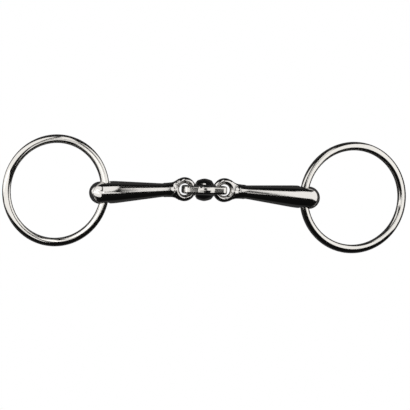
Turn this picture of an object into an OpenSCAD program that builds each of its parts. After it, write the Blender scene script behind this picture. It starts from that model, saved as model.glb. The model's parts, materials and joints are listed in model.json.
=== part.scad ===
// Loose-ring snaffle bit with a double-jointed mouthpiece.
// Two tapered cannons hang on a lozenge-shaped middle link like links of a chain, and each
// cannon has a cross hole through its thick end, in which a loose round ring turns.
// The bit lies on a flat surface at z = 0. +X runs along the mouthpiece to the right ring,
// +Y is the side that the middle link bows towards, and +Z is up from the surface.
// The right half is modelled, and the left half is its mirror image.

/* [Rings] */
// Diameter of the round wire of a ring
ring_wire_d = 6; // [4:0.5:8]
// Inside diameter of a ring
ring_inner_d = 66; // [50:1:90]
// Radial play of the wire in its hole, at the hole's narrowest place
ring_play = 0.35; // [0.2:0.05:0.8]

/* [Mouthpiece] */
// Width of the mouth, between the inner edges of the two rings
mouth_w = 140; // [115:1:160]
// Diameter of a cannon at its thick end
cannon_d = 15.7; // [14:0.1:20]
// Diameter of a cannon at its neck, beside the eye
neck_d = 9; // [7:0.1:10]
// How far the centre of the domed end lies beyond the ring hole
dome_offset = 3.3; // [2:0.1:6]
// How far the full thickness runs inwards from the ring hole, before the taper
thick_run = 5.5; // [3:0.5:12]
// Bend radius of the ring hole's wall, which opens towards both mouths
hole_flare_r = 20; // [14:1:40]

/* [Eyes] */
// Thickness of the round bar that forms an eye
eye_bar_d = 4.4; // [3.6:0.1:4.8]
// Inside diameter of an eye
eye_inner_d = 8; // [7.6:0.1:9]

/* [Middle link] */
// Distance between the two pivots in the link
pivot_span = 16.8; // [15:0.1:20]
// Overall length of the link
link_l = 32; // [30:0.5:34]
// Width of the two arms
arm_w = 5.8; // [5:0.1:6.4]
// Height of the two arms
arm_h = 10.8; // [10:0.1:12]
// Width of the lozenge across its middle
lozenge_w = 16; // [12:0.5:20]
// Height of the lozenge across its middle
lozenge_h = 13.2; // [12:0.1:16]
// Length of the full oval that the lozenge is cut from
lozenge_l = 23; // [20:0.5:26]
// Radial play of an eye's bar in the link's cross hole
pivot_play = 0.7; // [0.6:0.05:0.9]
// Bend radius of the hole's wall in the arms, which opens towards the eye
arm_flare_r = 3.4; // [3.2:0.1:4]

/* [Resting pose] */
// Angle by which each cannon sweeps back from the straight line
sweep = 3.5; // [0:0.1:6]
// Angle by which each ring slopes down from its hole to its far side
ring_slope = 0; // [0:0.1:3.5]

/* [Hidden] */
$fn = 96;
steel = "lightsteelblue";
polished = "silver";

ring_r = (ring_inner_d + ring_wire_d) / 2;
cannon_r = cannon_d / 2;
neck_r = neck_d / 2;
eye_bar_r = eye_bar_d / 2;
eye_r = eye_inner_d / 2 + eye_bar_r;
pivot_x = pivot_span / 2;
link_z = lozenge_h / 2;

// The cannon's own frame has its origin at the pivot and +X along its axis. The ring hole
// lies this far out, and the thick end's lowest line touches the surface.
reach = (mouth_w / 2 + ring_wire_d / 2 - pivot_x) / cos(sweep);
thick_x = reach - thick_run;
rise = asin((cannon_r - link_z) / thick_x);
hole_z = link_z + reach * sin(rise);

// The holes lie at this y, and each ring is turned until its centre lies on y = 0.
ring_y = -0.65;
link_y = ring_y + reach * cos(rise) * sin(sweep);
ring_turn = asin(-ring_y / ring_r);

// Wall of the ring hole, as a radius at a distance y from the cannon's axis
function flare(y) = ring_wire_d / 2 + ring_play + hole_flare_r - sqrt(pow(hole_flare_r, 2) - y * y);

// Turns a solid made about Z so that its own axis lies along X
module along_x() {
    rotate([0, 90, 0]) children();
}

// Turns a solid made about Z so that its own axis lies along Y
module along_y() {
    rotate([-90, 0, 0]) children();
}

module torus(mean_r, bar_r) {
    rotate_extrude() translate([mean_r, 0]) circle(bar_r);
}

// Dome, thick end, taper and rounded inner end, as one revolved outline
module cannon_bar() {
    dome_x = reach + dome_offset;
    neck_x = 2 * eye_r + neck_r;
    along_x() rotate_extrude() intersection() {
        union() {
            translate([0, dome_x]) circle(cannon_r);
            translate([0, neck_x]) circle(neck_r);
            polygon([[0, neck_x], [neck_r, neck_x], [cannon_r, thick_x], [cannon_r, dome_x], [0, dome_x]]);
        }
        translate([0, -1]) square([cannon_r + 1, dome_x + cannon_r + 2]);
    }
}

// Web that spreads the neck out to the sides of the eye, a little thinner than both
module neck_web() {
    side_angle = 45;
    inset = 0.15;
    neck_start = 2 * eye_r + 1.3 * neck_r;
    difference() {
        hull() {
            translate([neck_start, 0, 0]) sphere(neck_r - inset, $fn = 32);
            for (s = [-1, 1])
                translate([eye_r + eye_r * cos(side_angle), s * eye_r * sin(side_angle), 0])
                    sphere(eye_bar_r - inset, $fn = 32);
        }
        translate([eye_r, 0, -cannon_r]) cylinder(h = cannon_d, r = eye_r - 1);
    }
}

// Hole across the cannon for the ring, narrowest in the middle
module ring_hole() {
    half_depth = cannon_r + 0.6;
    steps = 6;
    wall = [for (i = [-steps : steps]) [flare(i * half_depth / steps), i * half_depth / steps]];
    along_y() rotate_extrude() polygon(concat([[0, -half_depth]], wall, [[0, half_depth]]));
}

// One cannon in its own frame
module cannon() {
    difference() {
        union() {
            cannon_bar();
            translate([eye_r, 0, 0]) torus(eye_r, eye_bar_r);
            neck_web();
        }
        translate([reach, 0, 0]) ring_hole();
    }
}

// The right cannon where it rests
module place_cannon() {
    translate([pivot_x, link_y, link_z]) rotate([0, 0, -sweep]) rotate([0, -rise, 0]) children();
}

// The right ring where it rests: its own frame starts at the hole, and the ring lies out along +X
module place_ring() {
    hole_x = pivot_x + reach * cos(rise) * cos(sweep);
    translate([hole_x, ring_y, hole_z]) rotate([0, 0, ring_turn]) rotate([0, ring_slope, 0])
        translate([ring_r, 0, 0]) children();
}

// Disc about Y with rounded edges
module soft_disc(r, w, edge) {
    along_y() rotate_extrude() {
        translate([0, -w / 2]) square([r - edge, w]);
        translate([0, edge - w / 2]) square([r, w - 2 * edge]);
        for (s = [-1, 1]) translate([r - edge, s * (w / 2 - edge)]) circle(edge);
    }
}

// The two arms, as one flat-topped bar through the lozenge
module link_arms() {
    end_r = 3.6;
    edge = 1.3;
    hull() for (sx = [-1, 1], sz = [-1, 1])
        translate([sx * (link_l / 2 - end_r), 0, sz * (arm_h / 2 - end_r)])
            soft_disc(end_r, arm_w, edge, $fn = 32);
}

// The oval body between the pivots, cut short of them so that the eyes can fold past it
module lozenge() {
    shoulder = 0.6;
    intersection() {
        scale([lozenge_l / 2, lozenge_w / 2, lozenge_h / 2]) sphere(1);
        cube([pivot_span - 2 * shoulder, lozenge_w + 2, lozenge_h + 2], center = true);
    }
}

// Wall of the opening in an arm, as a radius at a distance y from the arm's middle
function opening(y) = eye_bar_r + 0.5 * pivot_play + arm_flare_r - sqrt(pow(arm_flare_r, 2) - y * y);

// Cross hole for an eye's bar: a plain bore, rounded open on its outer side for the eye's curve
module pivot_hole() {
    half_w = arm_w / 2 + 0.1;
    steps = 5;
    wall = [for (i = [-steps : steps]) [opening(i * half_w / steps), i * half_w / steps]];
    along_y() cylinder(h = lozenge_w + 2, r = eye_bar_r + pivot_play, center = true);
    intersection() {
        along_y() rotate_extrude() polygon(concat([[0, -half_w]], wall, [[0, half_w]]));
        translate([0, -half_w - 1, -arm_h / 2]) cube([arm_h, 2 * half_w + 2, arm_h]);
    }
}

module middle_link() {
    color(polished) translate([0, link_y, link_z]) difference() {
        union() {
            link_arms();
            lozenge();
        }
        for (s = [0, 1]) mirror([s, 0, 0]) translate([pivot_x, 0, 0]) pivot_hole();
    }
}

module right_cannon() {
    color(steel) place_cannon() cannon();
}

module left_cannon() {
    color(steel) mirror([1, 0, 0]) place_cannon() cannon();
}

module right_ring() {
    color(polished) place_ring() torus(ring_r, ring_wire_d / 2);
}

module left_ring() {
    color(polished) mirror([1, 0, 0]) place_ring() torus(ring_r, ring_wire_d / 2);
}

middle_link();
left_cannon();
right_cannon();
left_ring();
right_ring();
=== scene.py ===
import json
import math

import bpy
import numpy as np
from mathutils import Matrix, Vector


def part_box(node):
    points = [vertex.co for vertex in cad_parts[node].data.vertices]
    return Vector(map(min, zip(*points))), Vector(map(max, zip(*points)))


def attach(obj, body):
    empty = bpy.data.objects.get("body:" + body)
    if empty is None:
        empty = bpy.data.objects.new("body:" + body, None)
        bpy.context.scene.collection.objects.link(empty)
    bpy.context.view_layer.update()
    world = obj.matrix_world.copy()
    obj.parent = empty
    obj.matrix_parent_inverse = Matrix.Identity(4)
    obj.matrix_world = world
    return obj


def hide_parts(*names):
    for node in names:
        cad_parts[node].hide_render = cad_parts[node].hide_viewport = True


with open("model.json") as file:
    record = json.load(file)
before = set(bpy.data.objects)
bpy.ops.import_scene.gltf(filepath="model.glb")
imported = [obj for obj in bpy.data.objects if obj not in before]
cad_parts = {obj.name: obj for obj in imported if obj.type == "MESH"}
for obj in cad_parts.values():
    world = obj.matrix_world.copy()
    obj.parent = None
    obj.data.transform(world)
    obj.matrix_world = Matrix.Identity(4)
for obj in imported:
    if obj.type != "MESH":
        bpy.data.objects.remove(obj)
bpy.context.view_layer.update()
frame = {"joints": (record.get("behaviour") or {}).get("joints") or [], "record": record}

# A loose-ring snaffle bit in polished stainless steel. Each of its five pieces is a smooth mesh
# that stands for the CAD node of the same place. Shapes are worked out in millimetres in each
# piece's own frame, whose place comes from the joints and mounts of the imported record.

MM = 0.001

# Cannon: own frame with the pivot at the origin and +X towards the ring hole
CANNON_R = 7.83
NECK_R = 4.5
DOME_OFFSET = 3.5        # centre of the domed end, beyond the ring hole
FULL_RUN = 6.5           # full thickness inwards from the ring hole
TAPER_RUN = 45.0         # from the ring hole to where the neck reaches its least thickness
TAPER_SOFTNESS = 7.0     # length over which the taper begins and ends
EYE_R = 6.2              # mean radius of the eye
EYE_BAR_R = 2.2
EYE_SECTION = 1.6        # roundness of its bar, which has a crest all round: 2 is round, 1 a rhombus
NECK_END = 0.8           # gap between the eye's crest and the rounded end of the neck
NECK_BLEND = 1.8         # softness of the join between the neck and the web
EYE_BLEND = 0.8          # and between the web and the eye
WEB_R = 1.85             # half thickness of the web that spreads from the neck to the eye
WEB_FILLET = 20.0        # plan radius of the web's hollow sides
HOLE_R = 3.35            # narrowest radius of the ring hole
HOLE_FLARE = 42.0        # bend radius of its wall
HOLE_EDGE = 0.4          # softness of its rims

# Middle link: own frame at its middle, with +X along the link
LINK_SHIFT = -0.5        # where the link has slid to along the eyes' bars, in Y
ARM_HALF = (16.0, 2.9, 5.4)
ARM_END_R = 3.6          # rounding of the arms' ends, seen from the side
ARM_EDGE = 1.5           # and of their long edges
ARM_BLEND = 1.2          # softness of the join between the arms and the lozenge
BUMP = 0.7               # rise of the arms' flat top over the lozenge
BUMP_FROM = 6.2          # from this distance to BUMP_TO
BUMP_TO = 2.0
LOZENGE_HALF = (12.2, 7.9, 5.8)
LOZENGE_PLAN = 1.6       # roundness of its outline from above: 2 is an ellipse, 1 a rhombus
LOZENGE_SECTION = 1.4    # roundness of its cross section
SHOULDER = 0.6           # how far the lozenge stops short of the pivots
SHOULDER_EDGE = 0.6      # softness of its edge there
BORE_R = 2.9             # radius of each cross hole
OPENING_R = 2.6          # least radius of its outer half, which flares open
OPENING_FLARE = 3.4      # bend radius of that flare
BORE_EDGE = 0.5          # softness of the hole's rims

# Meshes: spacing of the points, and room left around each shape while its surface is found
CANNON_CELL = 0.36
LINK_CELL = 0.3
MARGIN = 0.8
EYE_MARGIN = 1.0
RELAXATION = 0.6         # how far a point moves towards the middle of its neighbours

# Steel: least roughness, what the dullest places add to it, and the colour left there
ROUGHNESS = 0.1
ROUGHER = 0.08
DARKER = 0.86
CLOUD_SHARE = 0.45       # what clouds, scratches and edges each add to the dullness
SCRATCH_SHARE = 0.35
EDGE_SHARE = 0.2
RIPPLE_DEPTH = 0.000012
SCRATCH_DEPTH = 0.000005

# Camera: long lens, a little off the straight-down direction, from the left
CAMERA_DISTANCE = 13.0
CAMERA_TILT = math.radians(18.9)
CAMERA_AZIMUTH = math.radians(168.0)
CAMERA_ROLL = math.radians(1.38)
PICTURE_WIDTH = 0.2855
AIM_RIGHT = 0.0027
AIM_UP = -0.0083

# Studio: azimuth, tilt from straight up, distance, aim along X, twist, (width, height). The values
# are rounded from a fit to the highlights in the photo.
SOFT_BOXES = {
    "left_soft_box": (160, 80, 0.2, -0.1, -45, (0.12, 0.35)),
    "front_left_soft_box": (190, 65, 0.15, -0.05, 30, (0.06, 0.15)),
    "right_soft_box": (25, 50, 0.2, -0.1, 20, (0.2, 0.25)),
    "back_strip": (85, 35, 0.3, -0.05, -10, (0.07, 0.35)),
    "overhead_strip": (180, 10, 0.15, 0.15, 5, (0.03, 0.3)),
}
BOX_BRIGHTNESS = 1.35    # a box's watts per square metre of its face, divided by pi
LIGHT_COLOR = (1.0, 0.985, 0.96)
FLOOR_Z = -0.15
FLOOR_HALF = 40.0
TABLE_GREY = 0.045
ROOM_GREY = 0.006
HORIZON = (-0.15, 0.05)  # heights of view between which the table turns into the room


# ---------------------------------------------------------------- fields: below zero inside

def joined(a, b, soft):
    """Smooth union of two fields."""
    near = np.maximum(soft - np.abs(a - b), 0) / soft
    return np.minimum(a, b) - near * near * soft / 4


def common(a, b, soft):
    """Smooth intersection of two fields."""
    return -joined(-a, -b, soft)


def eased(x, width):
    """Zero below 0 and x above 0, with a parabola of the given width between."""
    t = np.clip(x / width + 0.5, 0, 1)
    return np.where(x > width / 2, x, t * t * width / 2)


def oval(a, b, roundness):
    """Distance from a middle, measured so that its level lines are ovals: 2 is a circle, 1 a rhombus."""
    return (np.abs(a) ** roundness + np.abs(b) ** roundness) ** (1 / roundness)


def slab(outline, height, edge):
    """A plan outline's field given thickness: height is beyond its flat faces, edge rounds its rim."""
    a, b = outline + edge, height + edge
    return np.minimum(np.maximum(a, b), 0) + np.hypot(np.maximum(a, 0), np.maximum(b, 0)) - edge


def flared(radius, bend, across, along):
    """Above zero inside a round hole that opens towards both mouths along a wall of this bend radius."""
    return np.hypot(np.maximum(radius + bend - across, 0), along) - bend


def cannon_field(reach, lean):
    """Dome, taper, neck, web and eye, with the flared ring hole at x = reach, leaning as the wire does."""
    taper_start = reach - FULL_RUN
    taper_end = reach - TAPER_RUN
    slope = (CANNON_R - NECK_R) / (taper_start - taper_end)
    neck_x = 2 * EYE_R + NECK_END + NECK_R
    fillet_v = NECK_R + WEB_FILLET
    fillet_u = math.sqrt((EYE_R + EYE_BAR_R + WEB_FILLET) ** 2 - fillet_v ** 2)
    fillet_far = math.hypot(fillet_u, fillet_v)

    def field(p):
        x, y, z = p[..., 0], p[..., 1], p[..., 2]
        along = np.clip(x, neck_x, reach + DOME_OFFSET)
        radius = CANNON_R - slope * (eased(taper_start - along, TAPER_SOFTNESS)
                                     - eased(taper_end - along, TAPER_SOFTNESS))
        bar = np.sqrt((x - along) ** 2 + y * y + z * z) - radius
        u, v = x - EYE_R, np.abs(y)
        from_eye = np.hypot(u, v)
        eye = oval(from_eye - EYE_R, z, EYE_SECTION) - EYE_BAR_R
        hollow = WEB_FILLET - np.hypot(u - fillet_u, v - fillet_v)
        side = (v * fillet_u - u * fillet_v) / fillet_far
        plan = np.maximum(np.maximum(hollow, side), np.maximum(u - fillet_u, EYE_R - from_eye))
        web = slab(plan, np.abs(z) - WEB_R, WEB_R)
        solid = joined(joined(eye, web, EYE_BLEND), bar, NECK_BLEND)
        wall = flared(HOLE_R, HOLE_FLARE, np.hypot(x - reach - lean * y, z), y)
        return common(solid, wall, HOLE_EDGE)

    return field


def link_field(pivot_x):
    """Flat-topped arms and an oval lozenge, with a cross hole for each eye."""

    def field(p):
        x, y, z = np.abs(p[..., 0]), np.abs(p[..., 1]), np.abs(p[..., 2])
        half_l, half_w, half_h = ARM_HALF
        t = np.clip((BUMP_FROM - x) / (BUMP_FROM - BUMP_TO), 0, 1)
        top = half_h + BUMP * t * t * (3 - 2 * t)
        a, b = x - half_l + ARM_END_R, z - top + ARM_END_R
        outline = (np.minimum(np.maximum(a, b), 0) - ARM_END_R
                   + np.hypot(np.maximum(a, 0), np.maximum(b, 0)))
        arms = slab(outline, y - half_w, ARM_EDGE)
        loz_l, loz_w, loz_h = LOZENGE_HALF
        near = oval(x / loz_l, oval(y / loz_w, z / loz_h, LOZENGE_SECTION), LOZENGE_PLAN)
        lozenge = common((near - 1) * loz_w, x - pivot_x + SHOULDER, SHOULDER_EDGE)
        solid = joined(arms, lozenge, ARM_BLEND)
        across = np.hypot(x - pivot_x, z)
        opening = flared(OPENING_R, OPENING_FLARE, across, y)
        hole = np.maximum(BORE_R - across, np.minimum(opening, x - pivot_x))
        return common(solid, hole, BORE_EDGE)

    return field


# ---------------------------------------------------------------- meshes

def slope_of(field, p):
    """Gradient of a field at points p."""
    step = 0.01
    steps = np.eye(3) * step
    return np.stack([field(p + s) - field(p - s) for s in steps], -1) / (2 * step)


def settle(field, p):
    """Moves points p onto the surface."""
    for _ in range(2):
        g = slope_of(field, p)
        p = p - g * (field(p) / np.maximum((g * g).sum(-1), 1e-6))[..., None]
    return p


def surface(field, low, high, cell, rounds=6):
    """Evenly spaced quads over the surface of a field, inside the box from low to high."""
    axes = [np.arange(a, b + cell, cell) for a, b in zip(low, high)]
    start = np.array([a[0] for a in axes])
    value = field(np.stack(np.meshgrid(*axes, indexing="ij"), -1))
    shape = np.array(value.shape) - 1
    points, keys = [], []
    for a in range(3):
        b, c = (a + 1) % 3, (a + 2) % 3
        below = np.moveaxis(value, a, 0)[:-1]
        above = np.moveaxis(value, a, 0)[1:]
        at = np.argwhere((below < 0) != (above < 0))
        v0, v1 = below[tuple(at.T)], above[tuple(at.T)]
        others = [i for i in range(3) if i != a]
        grid = np.zeros_like(at)
        grid[:, a] = at[:, 0]
        grid[:, others[0]] = at[:, 1]
        grid[:, others[1]] = at[:, 2]
        point = start + grid * cell
        point[:, a] += cell * v0 / (v0 - v1)
        db, dc = np.eye(3, dtype=int)[b], np.eye(3, dtype=int)[c]
        corners = [grid - db - dc, grid - dc, grid, grid - db]
        quad = np.stack([np.ravel_multi_index(k.T, shape) for k in corners], 1)
        quad[v0 > 0] = quad[v0 > 0][:, ::-1]
        points.append(point)
        keys.append(quad)
    points, keys = np.concatenate(points), np.concatenate(keys)
    used, quads = np.unique(keys, return_inverse=True)
    quads = quads.reshape(keys.shape)
    n = len(used)
    share = np.bincount(quads.ravel(), minlength=n)
    spread = np.repeat(points, 4, 0)
    p = np.stack([np.bincount(quads.ravel(), spread[:, i], n) for i in range(3)], 1) / share[:, None]
    ends = np.concatenate([quads[:, [i, (i + 1) % 4]] for i in range(4)])
    degree = np.bincount(ends[:, 0], minlength=n)
    for _ in range(rounds):
        p = settle(field, p)
        mean = np.stack([np.bincount(ends[:, 0], p[ends[:, 1], i], n) for i in range(3)], 1)
        p = p + RELAXATION * (mean / degree[:, None] - p)
    p = settle(field, p)
    g = slope_of(field, p)
    return p, quads, g / np.linalg.norm(g, axis=-1, keepdims=True)


def torus(mean_r, wire_r, around=256, about=48):
    """Quads and normals of a ring in the XY plane."""
    a = np.arange(around) * math.tau / around
    b = np.arange(about) * math.tau / about
    a, b = (k.ravel() for k in np.meshgrid(a, b, indexing="ij"))
    normal = np.stack([np.cos(a) * np.cos(b), np.sin(a) * np.cos(b), np.sin(b)], 1)
    middle = np.stack([np.cos(a), np.sin(a), np.zeros_like(a)], 1) * mean_r
    i, j = np.meshgrid(np.arange(around), np.arange(about), indexing="ij")
    i2, j2 = (i + 1) % around, (j + 1) % about
    quads = np.stack([i * about + j, i2 * about + j, i2 * about + j2, i * about + j2], -1).reshape(-1, 4)
    return middle + normal * wire_r, quads, normal


def turned_to(x, y, z):
    """Turn that takes the three axes to these directions."""
    return Matrix((x, y, z)).transposed().to_4x4()


def direction(azimuth, tilt):
    """Direction at this azimuth, tilted from straight up."""
    return Vector((math.sin(tilt) * math.cos(azimuth), math.sin(tilt) * math.sin(azimuth), math.cos(tilt)))


def placed(origin, x_axis, y_axis):
    """Frame at origin with these directions, where y_axis is straightened to be square to x_axis."""
    x = Vector(x_axis).normalized()
    z = x.cross(Vector(y_axis)).normalized()
    y = z.cross(x)
    return Matrix.Translation(Vector(origin)) @ turned_to(x, y, z)


def piece(name, shape, place, mirrored, body, material):
    """Makes a mesh object of a shape in millimetres, placed in the frame, and mirrored in X if asked."""
    points, quads, normals = shape
    turn = np.array(place.to_3x3())
    points = points * MM @ turn.T + np.array(place.translation)
    normals = normals @ turn.T
    if mirrored:
        points, normals, quads = points * [-1, 1, 1], normals * [-1, 1, 1], quads[:, ::-1]
    mesh = bpy.data.meshes.new(name)
    mesh.from_pydata(points.tolist(), [], quads.tolist())
    mesh.shade_smooth()
    mesh.normals_split_custom_set_from_vertices(normals.tolist())
    mesh.materials.append(material)
    made = bpy.data.objects.new(name, mesh)
    bpy.context.scene.collection.objects.link(made)
    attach(made, body)
    return made


# ---------------------------------------------------------------- materials

def steel(name, color, stretch):
    """Mirror-polished stainless steel with hairline scratches, faint clouding and rubbed, duller edges."""
    material = bpy.data.materials.new(name)
    material.use_nodes = True
    nodes, links = material.node_tree.nodes, material.node_tree.links
    shader = nodes["Principled BSDF"]
    shader.inputs["Metallic"].default_value = 1

    def link(value, socket):
        if isinstance(value, bpy.types.NodeSocket):
            links.new(value, socket)
        else:
            socket.default_value = value

    def arithmetic(operation, a, b):
        node = nodes.new("ShaderNodeMath")
        node.operation = operation
        link(a, node.inputs[0])
        link(b, node.inputs[1])
        return node.outputs[0]

    def times(a, b):
        return arithmetic("MULTIPLY", a, b)

    def plus(a, b):
        return arithmetic("ADD", a, b)

    def spread(value, low, high, low_to, high_to):
        node = nodes.new("ShaderNodeMapRange")
        link(value, node.inputs["Value"])
        limits = (low, high, low_to, high_to)
        for socket, limit in zip(("From Min", "From Max", "To Min", "To Max"), limits):
            node.inputs[socket].default_value = limit
        return node.outputs["Result"]

    def noise(where, scale, detail):
        node = nodes.new("ShaderNodeTexNoise")
        link(where, node.inputs["Vector"])
        node.inputs["Scale"].default_value = scale
        node.inputs["Detail"].default_value = detail
        return node.outputs["Fac"]

    place = nodes.new("ShaderNodeTexCoord").outputs["Object"]
    grain = nodes.new("ShaderNodeMapping")
    grain.inputs["Scale"].default_value = stretch
    links.new(place, grain.inputs["Vector"])
    grain = grain.outputs["Vector"]

    clouds = spread(noise(place, 90, 3), 0.3, 0.7, 0, 1)
    waves = noise(place, 140, 1)
    lines = arithmetic("ABSOLUTE", plus(noise(grain, 700, 2), -0.5), 0)
    patches = spread(noise(place, 160, 2), 0.46, 0.62, 0, 1)
    scratches = times(spread(lines, 0, 0.02, 1, 0), patches)
    edges = spread(nodes.new("ShaderNodeNewGeometry").outputs["Pointiness"], 0.52, 0.58, 0, 1)

    marks = plus(times(scratches, SCRATCH_SHARE), times(edges, EDGE_SHARE))
    dull = plus(times(clouds, CLOUD_SHARE), marks)
    tone = nodes.new("ShaderNodeMix")
    tone.data_type = "RGBA"
    link(dull, tone.inputs["Factor"])
    tone.inputs["A"].default_value = (*color, 1)
    tone.inputs["B"].default_value = (*(DARKER * c for c in color), 1)
    links.new(tone.outputs["Result"], shader.inputs["Base Color"])
    links.new(spread(dull, 0, 1, ROUGHNESS, ROUGHNESS + ROUGHER), shader.inputs["Roughness"])

    ripple = nodes.new("ShaderNodeBump")
    ripple.inputs["Strength"].default_value = 1
    ripple.inputs["Distance"].default_value = RIPPLE_DEPTH
    links.new(waves, ripple.inputs["Height"])
    scored = nodes.new("ShaderNodeBump")
    scored.invert = True
    scored.inputs["Strength"].default_value = 0.5
    scored.inputs["Distance"].default_value = SCRATCH_DEPTH
    links.new(scratches, scored.inputs["Height"])
    links.new(ripple.outputs["Normal"], scored.inputs["Normal"])
    links.new(scored.outputs["Normal"], shader.inputs["Normal"])
    return material


ring_steel = steel("ring_steel", (0.66, 0.65, 0.63), (1, 1, 2.5))
mouthpiece_steel = steel("mouthpiece_steel", (0.63, 0.62, 0.61), (0.3, 1, 1))
link_steel = steel("link_steel", (0.63, 0.62, 0.6), (0.4, 1, 1))


# ---------------------------------------------------------------- pieces

joints = {j["name"]: j for j in frame["joints"]}
mounts = {m["name"]: m for m in frame["record"]["mounts"]}
up = Vector((0, 0, 1))
pivot = Vector(joints["right_fold"]["pos_m"])
hole = Vector(joints["right_ring_swing"]["pos_m"])
ring_centre = Vector(mounts["right_ring_loop"]["pos_m"])
swing_axis = -Vector(joints["right_ring_swing"]["axis"])

ring_r = (ring_centre - hole).length / MM
ring_low, ring_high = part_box("right_ring")
wire_r = (ring_high.y - ring_low.y) / 2 / MM - ring_r
ring_place = placed(ring_centre, ring_centre - hole, swing_axis)
ring_shape = torus(ring_r, wire_r)

reach = (hole - pivot).length / MM
cannon_place = placed(pivot, hole - pivot, up.cross(hole - pivot))
room = CANNON_R + MARGIN
eye_room = EYE_R + EYE_BAR_R + EYE_MARGIN
wire_way = cannon_place.to_3x3().transposed() @ swing_axis
cannon_solid = cannon_field(reach, wire_way.x / wire_way.y)
cannon_shape = surface(cannon_solid, (-EYE_BAR_R - MARGIN, -eye_room, -room),
                       (reach + DOME_OFFSET + room, eye_room, room), CANNON_CELL)

link_place = Matrix.Translation(Vector((0, pivot.y + LINK_SHIFT * MM, pivot.z)))
link_room = np.array([ARM_HALF[0], LOZENGE_HALF[1], LOZENGE_HALF[2]]) + MARGIN
link_shape = surface(link_field(pivot.x / MM), -link_room, link_room, LINK_CELL)

for side, mirrored in (("left", True), ("right", False)):
    ring = piece(side + "_ring_wire", ring_shape, ring_place, mirrored, side + "_ring",
                 ring_steel)
    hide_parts(side + "_ring")
    cannon = piece(side + "_cannon_casting", cannon_shape, cannon_place, mirrored, side + "_cannon",
                   mouthpiece_steel)
    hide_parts(side + "_cannon")
link = piece("middle_link_casting", link_shape, link_place, False, "link", link_steel)
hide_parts("middle_link")


# ---------------------------------------------------------------- floor, light and camera

def white_floor():
    """Large pale floor that stays white, isn't mirrored in the steel and leaves room to fold down."""
    mesh = bpy.data.meshes.new("floor")
    around = ((-1, -1), (1, -1), (1, 1), (-1, 1))
    corners = [(x * FLOOR_HALF, y * FLOOR_HALF, FLOOR_Z) for x, y in around]
    mesh.from_pydata(corners, [], [(0, 1, 2, 3)])
    material = bpy.data.materials.new("floor")
    material.use_nodes = True
    nodes = material.node_tree.nodes
    nodes.clear()
    glow = nodes.new("ShaderNodeEmission")
    out = nodes.new("ShaderNodeOutputMaterial")
    material.node_tree.links.new(glow.outputs["Emission"], out.inputs["Surface"])
    mesh.materials.append(material)
    floor = bpy.data.objects.new("floor", mesh)
    bpy.context.scene.collection.objects.link(floor)
    floor.visible_glossy = False
    floor.visible_diffuse = False


def soft_box(name, azimuth, tilt, distance, aim_x, twist, size):
    """Square-cornered area light close over the bit, aimed at a point along its middle."""
    light = bpy.data.lights.new(name, "AREA")
    light.shape = "RECTANGLE"
    light.size, light.size_y = size
    light.energy = BOX_BRIGHTNESS * math.pi * size[0] * size[1]
    light.color = LIGHT_COLOR
    place = distance * direction(math.radians(azimuth), math.radians(tilt))
    away = (place - Vector((aim_x, 0, 0))).normalized()
    level = Vector((0, 0, -1)).cross(away).normalized()
    turn = turned_to(level, away.cross(level), away)
    box = bpy.data.objects.new(name, light)
    bpy.context.scene.collection.objects.link(box)
    box.matrix_world = Matrix.Translation(place) @ turn @ Matrix.Rotation(-math.radians(twist), 4, "Z")
    box.visible_camera = False


def studio():
    """Surroundings: white to the camera, and dark above a grey table in the steel's reflections."""
    world = bpy.data.worlds.new("studio")
    world.use_nodes = True
    nodes, links = world.node_tree.nodes, world.node_tree.links
    split = nodes.new("ShaderNodeSeparateXYZ")
    links.new(nodes.new("ShaderNodeTexCoord").outputs["Generated"], split.inputs[0])
    height = nodes.new("ShaderNodeMapRange")
    links.new(split.outputs["Z"], height.inputs["Value"])
    height.inputs["From Min"].default_value = HORIZON[0]
    height.inputs["From Max"].default_value = HORIZON[1]
    seen = nodes.new("ShaderNodeMix")
    seen.data_type = "RGBA"
    links.new(height.outputs["Result"], seen.inputs["Factor"])
    seen.inputs["A"].default_value = (TABLE_GREY, TABLE_GREY, TABLE_GREY, 1)
    seen.inputs["B"].default_value = (ROOM_GREY, ROOM_GREY, ROOM_GREY, 1)
    shown = nodes.new("ShaderNodeMix")
    shown.data_type = "RGBA"
    links.new(nodes.new("ShaderNodeLightPath").outputs["Is Camera Ray"], shown.inputs["Factor"])
    links.new(seen.outputs["Result"], shown.inputs["A"])
    shown.inputs["B"].default_value = (1, 1, 1, 1)
    links.new(shown.outputs["Result"], nodes["Background"].inputs["Color"])
    bpy.context.scene.world = world


def long_lens():
    """Camera that looks at the bit from the photo's direction, rolled as the photo is."""
    camera = bpy.data.objects.new("camera", bpy.data.cameras.new("camera"))
    bpy.context.scene.collection.objects.link(camera)
    back = direction(CAMERA_AZIMUTH, CAMERA_TILT)
    right = (Vector((1, 0, 0)) - back * back.x).normalized()
    over = back.cross(right)
    rolled_right = math.cos(CAMERA_ROLL) * right + math.sin(CAMERA_ROLL) * over
    rolled_over = back.cross(rolled_right)
    aim = AIM_RIGHT * rolled_right + AIM_UP * rolled_over
    turn = turned_to(rolled_right, rolled_over, back)
    camera.matrix_world = Matrix.Translation(aim + back * CAMERA_DISTANCE) @ turn
    camera.data.lens = CAMERA_DISTANCE * camera.data.sensor_width / PICTURE_WIDTH
    camera.data.clip_end = 2 * CAMERA_DISTANCE
    return camera


white_floor()
for name, box in SOFT_BOXES.items():
    soft_box(name, *box)
studio()
bpy.context.scene.view_settings.view_transform = "Standard"
bpy.context.scene.camera = long_lens()
